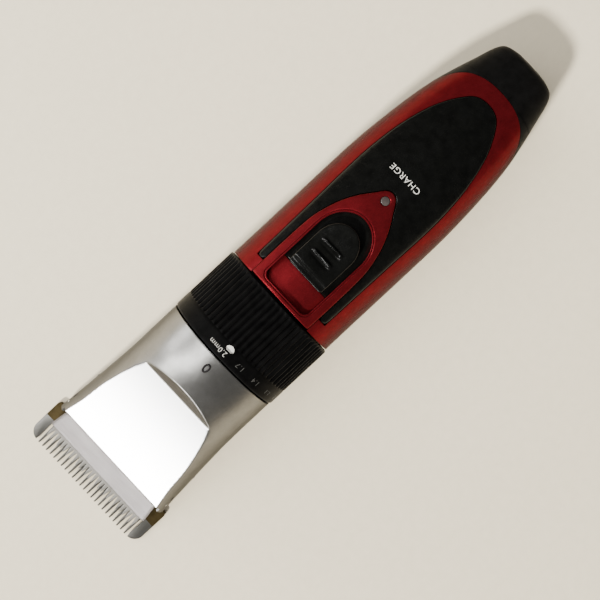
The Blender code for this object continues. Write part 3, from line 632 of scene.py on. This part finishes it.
def upper_casing():
    """Red shell, with a seat for the gloss panel, and the floors of the switch's well."""
    xs = crowd(find_apex(), -50, 70, 1.8)[:-1] + spread(-50, HANDLE[0][0], 90)
    rows = []
    for x in xs:
        start = split_angle(x)
        rows.append([section_point(HANDLE, x, start + (math.pi - 2 * start) * k / SKIN_STEPS)
                     for k in range(SKIN_STEPS + 1)])
    shell = grid_object("upper_casing", rows)
    face_away(shell, (0, 0, AXIS_Z))
    thicken(shell, 2.0, -1)
    bevel(shell, 0.3, 3, 50)
    apply_modifiers(shell)
    # the panel's seat runs out through the shell's front edge, except ahead of the panel's two prongs
    front, side = PANEL_EDGE[0][0] + 0.15, 10.75
    seat = prism("seat", plan_outline([(6.8, 13.1)] + PANEL_EDGE, PANEL_TIP_X, 0.12), 20, 60)
    high_prong = block("high_prong", (front, side, 19), (12, 20, 61))
    low_prong = block("low_prong", (front, -20, 19), (12, -side, 61))
    cut(seat, high_prong, low_prong)
    cut(shell, seat)
    paint(shell, RED)
    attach(shell, "handle")
    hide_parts("upper_shell")
    front, rear, half = WELL[0] + 0.9, WELL[1] - 0.7, WELL[2] + 0.7
    floor_rear, plate_front = -2.9, -3.0
    floor = patch("well_floor", [[(floor_rear, half), (floor_rear, -half), (front, -half), (front, half)]],
                  lambda x, y: top_height(HANDLE, x, y) - 0.95, 0.7, 0.1)
    paint(floor, RED)
    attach(floor, "handle")
    stem_low, stem_high = box_mm("switch_slider")
    room, side = 0.3, 1.5
    slot_rear, slot_front = stem_low.x - room, stem_high.x + SLIDE_TRAVEL + room
    slot = [(slot_rear, -side), (slot_rear, side), (slot_front, side), (slot_front, -side)]
    rear_floor = patch("slide_plate", [clean_loop(d_outline(plate_front, rear, half, 0.6)), slot],
                       plate_height, 0.7, 0.15)
    paint(rear_floor, BLACK_GLOSS)
    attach(rear_floor, "handle")


def lower_casing():
    """Black shell, closed round the tail up to the jack, with an opening in the belly."""
    gap, turn_in_x, tail_x = 0.22, -56, -86.5
    xs = spread(HANDLE[0][0], turn_in_x, 90)[:-1] + spread(turn_in_x, tail_x, 80)[:-1]
    xs += [tail_x - 2.18 * math.sin(math.pi / 2 * k / 14) for k in range(15)]
    rows = []
    for x in xs:
        start = split_angle(x, gap)
        sweep = math.pi + 2 * start
        row = [section_point(HANDLE, x, math.pi - start + sweep * k / SKIN_STEPS)
               for k in range(SKIN_STEPS + 1)]
        for point in row:
            point.z = max(point.z, 0.0)
        rows.append(row)
    end = rows[-1]
    centre_x = (sum(end, Vector()) / len(end)).x
    jack = []
    for point in end:
        turn = math.atan2(point.z - JACK_Z, point.y)
        jack.append(Vector((centre_x, JACK_R * math.cos(turn), JACK_Z + JACK_R * math.sin(turn))))
    for part in (0.08, 0.25, 0.5, 0.75, 1.0):
        ring = [point.lerp(goal, part) for point, goal in zip(end, jack)]
        for point in ring:
            point.x = centre_x + 0.1 * math.sin(math.pi / 2 * part)
        rows.append(ring)
    shell = grid_object("lower_casing", rows, merge=0.004)
    face_away(shell, (0, 0, AXIS_Z))
    sides = []
    for away in (SCREW_R, -SCREW_R):
        for turn in full_turn(32)[:16]:
            across, along = math.cos(turn), math.sin(turn)
            sides.append(((SCREW_X + away * across, away * along, 0), (across, along, 0)))

    def within(at, radius):
        return at.z < 9 and math.hypot(at.x - SCREW_X, at.y) < radius

    carve(shell, sides, lambda at: within(at, SCREW_R), lambda at: within(at, SCREW_R + 1.3))
    thicken(shell, 1.8, -1)
    bevel(shell, 0.15, 2, 55)
    apply_modifiers(shell)
    shade(shell.data)
    paint(shell, BLACK_GRAIN)
    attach(shell, "handle")
    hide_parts("lower_shell")


def face_plate():
    """Gloss panel: its outline runs round the tongue, with a rounded nose on each of its two prongs."""
    outer = plan_outline(PANEL_EDGE, PANEL_TIP_X, -0.05)
    tongue = plan_outline(TONGUE_EDGE, TONGUE_TIP_X, 0.18)
    front, prong = PANEL_EDGE[0][0], 1.3
    outside = [p for p in outer[:len(outer) // 2 + 1] if p[0] < front - prong]
    inside = [p for p in tongue[:len(tongue) // 2] if p[0] < front - 1.2]
    middle = (inside[0][1] + outer[0][1]) / 2
    reach = (outer[0][1] - inside[0][1]) / 2
    nose = [(front - prong + prong * math.cos(a), middle - reach * math.sin(a))
            for a in spread(-math.pi / 2, math.pi / 2, 15)]
    loop = outside + [(PANEL_TIP_X, 0.0)] + [(x, -y) for x, y in reverse(outside) + nose + inside]
    loop += [(TONGUE_TIP_X - 0.18, 0.0)] + reverse(inside) + reverse(nose)
    plate = patch("face_plate", [clean_loop(loop)], lambda x, y: top_height(HANDLE, x, y) + 0.02,
                  0.9, 0.28, 0.9)
    paint(plate, BLACK_GLOSS)
    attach(plate, "handle")
    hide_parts("face_panel")


def bezel_height(x, y):
    """Raised tongue: highest round the well, running out into the casing at its tip."""
    fade = min(max((x - TONGUE_TIP_X) / 9.0, 0.0), 1.0)
    rise = 0.25 + 0.75 * (fade * fade * (3 - 2 * fade))
    return top_height(HANDLE, x, y) + rise


def bezel():
    """Red tongue round the switch's well, the well's rim, and the lens of the charge light."""
    tongue = clean_loop(plan_outline(TONGUE_EDGE, TONGUE_TIP_X, 0.0))
    well = clean_loop(d_outline(*WELL, corner=2.2))
    hole = arc(LED_X, 0.0, LED_R, full_turn(32))
    frame_piece = patch("switch_surround", [tongue, reverse(well), reverse(hole)], bezel_height,
                        2.2, 0.35, 0.8)
    paint(frame_piece, RED)
    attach(frame_piece, "handle")
    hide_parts("switch_bezel")
    rim_out = clean_loop(d_outline(*WELL, corner=2.2, grow=-0.02))
    rim_in = clean_loop(d_outline(*WELL, corner=1.9, grow=-0.5))
    rim = patch("well_rim", [rim_out, reverse(rim_in)], lambda x, y: bezel_height(x, y) - 0.12,
                1.6, 0.18, 0.8, 3)
    paint(rim, RED)
    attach(rim, "handle")
    lens = patch("lens_cap", [hole],
                 lambda x, y: bezel_height(x, y) + 0.1 - 0.12 * ((x - LED_X) ** 2 + y * y), 1.2, 0.22, 0.4)
    paint(lens, LENS)
    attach(lens, "handle")
    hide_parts("indicator_lens")


def button_height(x, y):
    """Thumb button: low front step, dished pad and two raised bars across it."""
    front, rear = BUTTON[:2]
    base = top_height(HANDLE, (front + rear) / 2, y * 0.75) + 1.7
    along = (x - rear) / (front - rear)
    base += 0.5 * (along - 0.5) ** 2 * 2
    dish = 0.8 * math.exp(-((x + 11.5) / 4.6) ** 2 - (y / 4.6) ** 2)
    step = 0.75 / (1 + math.exp(-(x - (front - 1.9)) * 5))
    bars = 0.0
    across = max(0.0, 1 - (abs(y + 0.4) / 3.5) ** 6)
    for place in (-9.4, -13.2):
        bars += 0.75 * across * math.exp(-((x - place) / 0.42) ** 2)
        bars -= 0.3 * across * math.exp(-((x - place - 1.15) / 0.5) ** 2)
    return base - dish - step + bars


def thumb_button():
    outline = clean_loop(d_outline(*BUTTON, corner=0.9))
    button = patch("thumb_button", [outline], button_height, 1.65, 0.55, 0.3, 5)
    paint(button, BLACK_GLOSS)
    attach(button, "button")
    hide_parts("switch_button")


# ---- head ----


def soft_min(a, b, radius):
    gap = max(radius - abs(a - b), 0.0) / radius
    return min(a, b) - gap * gap * radius / 4


def facet_height(x):
    """Height of the cut across the top of the head: the crescent step, then the facet."""
    away = x - FACET_REAR[0]
    facet = FACET_REAR[1] + slope(FACET_REAR, FACET_FRONT) * away
    step = FACET_REAR[1] + slope(FACET_RIM, FACET_REAR) * away
    return -soft_min(-facet, -step, 0.6)


def facing(rise):
    """Upward normal of a plane that climbs by rise along x."""
    return Vector((-rise, 0, 1)).normalized()


def head_casing():
    """Silver head, flat underneath, open at the front and under the blades."""
    step_rear, step_front = 38.5, 46.0
    xs = spread(HEAD[0][0], step_rear, 22)[:-1] + spread(step_rear, step_front, 46)[:-1]
    xs += spread(step_front, HEAD[-1][0], 110)
    rows = []
    for x in xs:
        row = []
        for turn in full_turn(420):
            point = section_point(HEAD, x, turn)
            if math.sin(turn) > 0:
                point.z = soft_min(point.z, facet_height(x), 0.45)
            point.z = max(point.z, 0.0)
            row.append(point)
        rows.append(row)
    shell = grid_object("head_casing", rows, closed=True)
    face_away(shell, (0, 0, 12))
    room, lip_x, under_z = CHEEK_INNER + 0.15, FACET_FRONT[0], 8.4
    rear_x, rear_half, front_x, front_half = 61.7, 18.7, 69.4, 19.75
    stops = [((x, 0, 0), (1, 0, 0)) for x in (rear_x, front_x, lip_x)] + [((0, 0, under_z), (0, 0, 1))]
    stops += [((0, side * y, 0), (0, 1, 0)) for side in (-1, 1) for y in (rear_half, front_half, room)]

    def opening(at):
        half = front_half if at.x > front_x else rear_half
        under = at.z < under_z and at.x > rear_x and abs(at.y) < half
        return under or (at.x > lip_x and abs(at.y) < room)

    carve(shell, stops, opening, lambda at: at.x > 58)
    thicken(shell, 0.8, -1)
    bevel(shell, 0.15, 2, 60)
    apply_modifiers(shell)
    paint(shell, SILVER, POLISHED, SHADED_STEP)
    facet_up, step_up = facing(slope(FACET_REAR, FACET_FRONT)), facing(slope(FACET_RIM, FACET_REAR))
    for face in shell.data.polygons:
        x = face.center.x / MM
        if face.normal.dot(facet_up) > 0.9986 and x > 42.5:
            face.material_index = 1
        # faces of the crescent step wall take the darker silver, which is painted shade
        elif face.normal.dot(step_up) > 0.97 and 39 < x < 44.5:
            face.material_index = 2
    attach(shell, "handle")
    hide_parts("head_shell")


def oval_mark():
    """Raised oval in front of the dial, which points at the setting.  It is silver like the head, but drawn
    dark in painted shade.
    """
    centre_x, long_half, wide_half = 32.1, 1.15, 0.68
    rows = []
    for turn in full_turn(40):
        row = []
        for roll in full_turn(12):
            out = 0.26 * math.cos(roll)
            x = centre_x + (long_half + out) * math.cos(turn)
            y = (wide_half + out) * math.sin(turn)
            row.append(Vector((x, y, top_height(HEAD, x, y) + 0.2 + 0.28 * math.sin(roll))))
        rows.append(row)
    rows.append(rows[0])
    mark = grid_object("oval_mark", rows, closed=True)
    # the dark colour is painted shade round the raised mark
    paint(mark, PAINTED_SHADE_MARK)
    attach(mark, "handle")
    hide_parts("pointer_mark")


def catch_marks():
    """Release catch on each flank of the head: a slot, a rivet and a small hole.  The slot and the hole are
    thin raised patches in dark painted shade, standing in for the shade inside them.
    """
    # name, x, height, half length, half width, material
    marks = (("slot", 68.9, 9.6, 0.85, 0.3, PAINTED_SHADE_MARK), ("rivet", 71.7, 8.8, 0.32, 0.32, POLISHED),
             ("hole", 59.6, 11.5, 0.4, 0.4, PAINTED_SHADE_MARK))
    flank_r = 18
    for side in (-1, 1):
        for name, centre, height, long_half, wide_half, material in marks:
            angle = min(spread(0.0, math.pi / 2, 400),
                        key=lambda a: abs(section_point(HEAD, centre, a).z - height))
            rows = []
            for part in spread(0.02, 1.0, 6):
                row = []
                for turn in full_turn(24):
                    x = centre + part * long_half * math.cos(turn)
                    at = section_point(HEAD, x, angle + part * wide_half * math.sin(turn) / flank_r)
                    dome = 0.05 + 0.08 * (1 - part * part)
                    row.append(Vector((at.x, side * (abs(at.y) + dome), at.z)))
                rows.append(row)
            mark = grid_object("catch_%s_%s" % (name, "low" if side < 0 else "high"), rows, closed=True)
            thicken(mark, 0.12, 0)
            apply_modifiers(mark)
            # painted shade on the slot and the hole; the rivet gets the polished metal
            paint(mark, material)
            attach(mark, "handle")


# ---- adjusting ring ----


def ring_piece():
    """Ring with turned grip ridges and a smooth dial band."""
    rear, front = ring_low.x, ring_high.x - 0.05
    outer = RING_R - 0.06
    bore = outer - 1.6
    band = front - DIAL_BAND
    xs = [rear, rear, rear + 0.15, rear + 0.4, rear + 0.7, rear + 1.1] + spread(rear + 1.6, band - 1.2, 24)
    xs += [band - 0.7, band - 0.35, band - 0.12, band, band + 0.12, band + 0.4]
    xs += spread(band + 0.9, front - 0.5, 8) + [front - 0.2, front - 0.05, front, front]
    per_ridge = 14
    turns = full_turn(RIDGES * per_ridge)
    rows = []
    for index, x in enumerate(xs):
        end_round = 0.0
        gap = min(x - rear, front - x)
        if gap < 0.5:
            end_round = 0.5 - math.sqrt(max(0.25 - (0.5 - gap) ** 2, 0.0))
        rear_fade = min(max((x - rear - 0.4) / 0.8, 0.0), 1.0)
        depth = 0.68 * rear_fade * min(max((band - 0.05 - x) / 0.7, 0.0), 1.0)
        groove = 0.12 * math.exp(-((x - band + 0.05) / 0.22) ** 2)
        row = []
        for k, turn in enumerate(turns):
            wave = 0.5 - 0.5 * math.cos(2 * math.pi * k / per_ridge)
            radius = outer - end_round - groove - depth * (1 - wave ** 0.45)
            if index in (0, len(xs) - 1):
                radius = bore
            row.append(Vector((x, radius * math.cos(turn), AXIS_Z + radius * math.sin(turn))))
        rows.append(row)
    rows.append([Vector((front, bore * math.cos(turn), AXIS_Z + bore * math.sin(turn))) for turn in turns])
    rows.append([Vector((rear, point.y, point.z)) for point in rows[-1]])
    ring = grid_object("dial_ring", rows, closed=True, angle=50)
    paint(ring, BLACK_SATIN)
    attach(ring, "ring")
    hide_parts("adjust_ring")


def wrap_print(piece, radius, centre, turn):
    """Lay flat print, drawn in its own x and y, round the ring: x runs round it, y along it."""
    for vertex in piece.data.vertices:
        along, up, lift = vertex.co.x, vertex.co.y, vertex.co.z
        angle = turn + along / radius
        reach = radius + lift
        vertex.co = Vector((centre + up, -reach * math.sin(angle), AXIS_Z + reach * math.cos(angle))) * MM


def flat_mesh(piece):
    """Text turned to a mesh fine enough to wrap, with its coordinates still in millimetres."""
    graph = bpy.context.evaluated_depsgraph_get()
    mesh = bpy.data.meshes.new_from_object(piece.evaluated_get(graph))
    made = link_object(piece.name + "_mesh", mesh)
    bpy.data.objects.remove(piece, do_unlink=True)
    bm = opened(made)
    low = min(vertex.co.x for vertex in bm.verts)
    high = max(vertex.co.x for vertex in bm.verts)
    slice_mesh(bm, 0, [low + k * PRINT_GRID for k in range(1, int((high - low) / PRINT_GRID) + 1)])
    put_back(bm, made)
    return made


def written(name, body, height, offset):
    """Word with capitals of about the height.  A negative offset thins its strokes."""
    data = bpy.data.curves.new(name, "FONT")
    data.body = body
    data.size = height * 1.38
    data.align_x = "CENTER"
    data.align_y = "CENTER"
    data.space_character = 1.1
    data.offset = offset
    data.extrude = PRINT_DEPTH
    return flat_mesh(link_object(name, data))


def print_plate(name, outline):
    """Flat printed shape, up to 2.5 mm wide, sliced finely enough to wrap."""
    bm = prism_mesh(outline, -PRINT_DEPTH, PRINT_DEPTH, 1)
    slice_mesh(bm, 0, [PRINT_GRID * k for k in range(-5, 6)])
    return finish_mesh(bm, name, None)


def dial_print():
    """Settings printed round the band.  The longest has a half disc over two short bars."""
    radius, sign_x, sign_turn = RING_R - 0.05, 24.3, -0.036
    bright, faint = [], []
    for k, body in enumerate(SETTINGS):
        turn = math.radians(-DIAL_STEP * k)
        label = written("label_%d" % k, body, 1.5, -0.04)
        centre, shift = (25.5, 0.35) if k else (26.0, 1.9)
        wrap_print(label, radius, centre, turn + shift / radius)
        (faint if k else bright).append(label)
    sign = [print_plate("half_disc", [(1.25 * math.cos(a), -1.1 * math.sin(a))
                                      for a in spread(0, math.pi, 25)])]
    for k in range(2):
        low, high, wide = 0.13 + 0.24 * k, 0.21 + 0.24 * k, 1.15 - 0.25 * k
        sign.append(print_plate("line_%d" % k, [(-wide, low), (wide, low), (wide, high), (-wide, high)]))
    for piece in sign:
        wrap_print(piece, radius, sign_x, sign_turn)
        bright.append(piece)
    for name, group, material in (("dial_setting", bright, PRINT_WHITE), ("dial_marks", faint, PRINT_GREY)):
        marks = join(name, group)
        paint(marks, material)
        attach(marks, "ring")


def charge_label():
    """Word printed on the gloss panel beside the charge light, reading towards -Y."""
    word_x, word_y, widen = -39.6, -0.7, 1.04
    label = written("charge_label", "CHARGE", 1.75, -0.012)
    for vertex in label.data.vertices:
        x, y = word_x + vertex.co.y, word_y - vertex.co.x * widen
        vertex.co = Vector((x, y, top_height(HANDLE, x, y) + 0.035 + vertex.co.z * 0.5)) * MM
    paint(label, PRINT_WHITE)
    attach(label, "handle")


# ---- blades and their cover ----


def toothed_plan(tips_x, roots_x, teeth, pitch, root_wide, tip_wide):
    """Row of round-ended teeth pointing to +X with round roots between them, from -Y to +Y."""
    plan = []
    start = -pitch * (teeth - 1) / 2
    for k in range(teeth):
        y = start + pitch * k
        if k:
            gap = (pitch - root_wide) / 2
            plan += [(roots_x + gap - gap * math.cos(a), y - pitch / 2 + gap * math.sin(a))
                     for a in spread(-math.pi / 2, math.pi / 2, 7)]
        plan.append((roots_x + 0.6, y - root_wide / 2))
        plan += [(tips_x - tip_wide / 2 + tip_wide / 2 * math.cos(a), y + tip_wide / 2 * math.sin(a))
                 for a in spread(-math.pi / 2, math.pi / 2, 7)]
        plan.append((roots_x + 0.6, y + root_wide / 2))
    return plan


def comb_plan(rear_x, tips_x):
    """Plan of the fixed blade: narrow heel, broad cheeks with rounded ends, and the teeth between them."""
    heel, cheek_rear, reach, radius, edge = 17.9, 75.4, 88.55, 3.6, BLADE_HALF - 0.03
    side = [(rear_x, heel), (cheek_rear, heel), (cheek_rear, BLADE_HALF - 1.0),
            (cheek_rear + 0.3, BLADE_HALF - 0.3), (cheek_rear + 1.0, edge)]
    side += [(reach - radius + radius * math.sin(a), edge - radius + radius * math.cos(a))
             for a in spread(0.15, math.radians(84), 14)]
    side += [(reach - 0.35, CHEEK_INNER - 0.2), (reach - 1.2, CHEEK_INNER - 0.35),
             (TOOTH_ROOT, CHEEK_INNER - 0.1)]
    low = [(x, -y) for x, y in side]
    return low + toothed_plan(tips_x, TOOTH_ROOT, teeth=24, pitch=1.63, root_wide=0.98,
                              tip_wide=0.52) + reverse(side)


def blade_plate(name, plan, low, high, body, node, back_x, material, dark, dark_x):
    """Blade with fine bevels, cut behind its teeth at back_x, and in the dark material behind dark_x."""
    plate = prism(name, plan, low, high)
    plate.data.shade_flat()
    bm = opened(plate)
    slice_mesh(bm, 0, [x * MM for x in (78.0, 79.5, back_x)], 1e-8)
    put_back(bm, plate)
    bevel(plate, 0.09, 2, 48)
    apply_modifiers(plate)
    shade(plate.data, 40)
    paint(plate, material, dark)
    for face in plate.data.polygons:
        if face.center.x / MM < dark_x:
            face.material_index = 1
    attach(plate, body)
    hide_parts(node)
    return plate


def blades():
    low, high = box_mm("fixed_blade")
    plan = comb_plan(low.x + 0.02, high.x - 0.03)
    fixed = blade_plate("comb_blade", plan, low.z + 0.01, high.z - 0.01, "blade_module", "fixed_blade",
                        TOOTH_ROOT, GROUND_STEEL, TITANIUM_DARK, TOOTH_ROOT)
    low, high = box_mm("moving_blade")
    edge, root = high.y - 0.02, 82.2
    shoulder = root + 0.2
    plan = [(low.x, -edge), (shoulder, -edge)]
    plan += toothed_plan(high.x - 0.02, root, teeth=28, pitch=1.36, root_wide=1.1, tip_wide=0.26)
    plan += [(shoulder, edge), (low.x, edge)]
    mover = blade_plate("cutter_blade", plan, low.z + 0.01, high.z - 0.01, "cutter", "moving_blade",
                        root + 0.3, CUTTER_GREY, CUTTER_GREY, 0.0)


def blade_lip():
    """Satin lip over the moving blade, with a rounded front edge."""
    back, high = FACET_FRONT[0] + 0.12, FACET_FRONT[1]
    front, low = LIP_FRONT
    rows = []
    profile = [(back, high - 2.0), (back, high - 0.45), (back + 0.12, high - 0.24)]
    profile += [(x, high - 0.12 - (x - back) * (high - low) / (front - back) - 0.05)
                for x in spread(back + 0.5, front - 0.75, 14)]
    profile += [(front - 0.45, low + 0.22), (front - 0.2, low + 0.02), (front - 0.06, low - 0.2),
                (front - 0.04, low - 0.5), (front - 0.2, low - 0.75), (front - 0.8, low - 0.85)]
    for x, z in profile:
        half = 18.75 + 1.3 * (x - back) / (front - back)
        row = []
        for across in spread(-1, 1, 61):
            fall = 0.6 * max(abs(across) - 0.97, 0.0) / 0.03
            row.append(Vector((x - 0.15 * fall, half * across, z - 0.5 * fall)))
        rows.append(row)
    lip = grid_object("blade_lip", rows, angle=40)
    thicken(lip, 0.5, -1)
    apply_modifiers(lip)
    shade(lip.data, 40)
    paint(lip, SATIN)
    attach(lip, "blade_module")
    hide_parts("blade_cover")


# ---- carried-over parts of the frame ----


def dress_frame():
    """Give each part of the frame that no piece replaces a worked material, by its slot in the record."""
    finish = {
        "black_plastic": BLACK_GRAIN, "black_gloss": BLACK_GLOSS, "red_paint": RED, "silver_paint": SILVER,
        "satin_silver": SATIN, "titanium_steel": TITANIUM, "steel": BRIGHT_STEEL, "white_ceramic": CERAMIC,
        "brass": BRASS, "green_board": BOARD, "white_nylon": NYLON, "battery_sleeve": SLEEVE,
        "clear_lens": LENS, "red_led": LED}
    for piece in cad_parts.values():
        for slot in piece.material_slots:
            slot.material = finish[slot.material.name.split(".")[0]]


# ---- stage ----


def look_at(piece, target):
    away = Vector(target) * MM - piece.location
    piece.rotation_euler = away.to_track_quat("-Z", "Y").to_euler()


def place_light(name, kind, place, target, strength, colour):
    data = bpy.data.lights.new(name, kind)
    data.energy = strength
    data.color = colour
    lamp = link_object(name, data)
    lamp.location = Vector(place) * MM
    look_at(lamp, target)
    return lamp


def area_light(name, place, target, size, watts, colour):
    lamp = place_light(name, "AREA", place, target, watts, colour)
    lamp.data.shape = "RECTANGLE"
    lamp.data.size, lamp.data.size_y = size[0] * MM, size[1] * MM
    return lamp


def stage_scene():
    """Table, soft studio light and the camera above the switch side."""
    reach = spread(-6000, 6000, 13)
    rows = [[Vector((x, y, 0)) for y in reach] for x in reach]
    table = grid_object("table_top", rows)
    paint(table, TABLE)
    area_light("low_window", (620, 10, 72), (60, 0, 20), (420, 130), 4.2, (1.0, 0.99, 0.97))
    key = place_light("key", "SUN", (560, 70, 560), (0, 0, 0), 8.6, (1.0, 0.96, 0.88))
    key.data.angle = math.radians(5.5)
    fill = area_light("overhead", (120, -280, 600), (0, 0, 0), (700, 700), 6.4, (1.0, 0.97, 0.92))
    for lamp in (key, fill):
        lamp.visible_glossy = False
    sheen = area_light("head_sheen", (300, -340, 480), (40, 0, 38), (170, 560), 4.6, (1.0, 0.99, 0.96))
    sheen.visible_diffuse = False
    area_light("left_strip", (170, -560, 200), (60, 0, 20), (240, 160), 1.2, (1.0, 0.99, 0.97))
    world = bpy.data.worlds.new("studio")
    bpy.context.scene.world = world
    world.use_nodes = True
    back = world.node_tree.nodes["Background"]
    back.inputs["Color"].default_value = (0.95, 0.93, 0.9, 1)
    back.inputs["Strength"].default_value = 0.1

    data = bpy.data.cameras.new("view")
    data.lens = 53.5
    data.sensor_width = 36
    data.clip_start = 0.01
    camera = link_object("view", data)
    turn = math.radians(43)   # of the object in the picture
    right = Vector((-math.cos(turn), math.sin(turn), 0))
    up = Vector((-math.sin(turn), -math.cos(turn), 0))
    basis = Matrix((right, up, Vector((0, 0, 1)))).transposed()
    camera.matrix_world = Matrix.Translation(Vector((2.2, 3.65, 269.5)) * MM) @ basis.to_4x4()
    bpy.context.scene.camera = camera


def main():
    dress_frame()
    upper_casing()
    lower_casing()
    face_plate()
    bezel()
    thumb_button()
    head_casing()
    oval_mark()
    catch_marks()
    ring_piece()
    dial_print()
    charge_label()
    blades()
    blade_lip()
    stage_scene()


main()
bpy.context.view_layer.update()
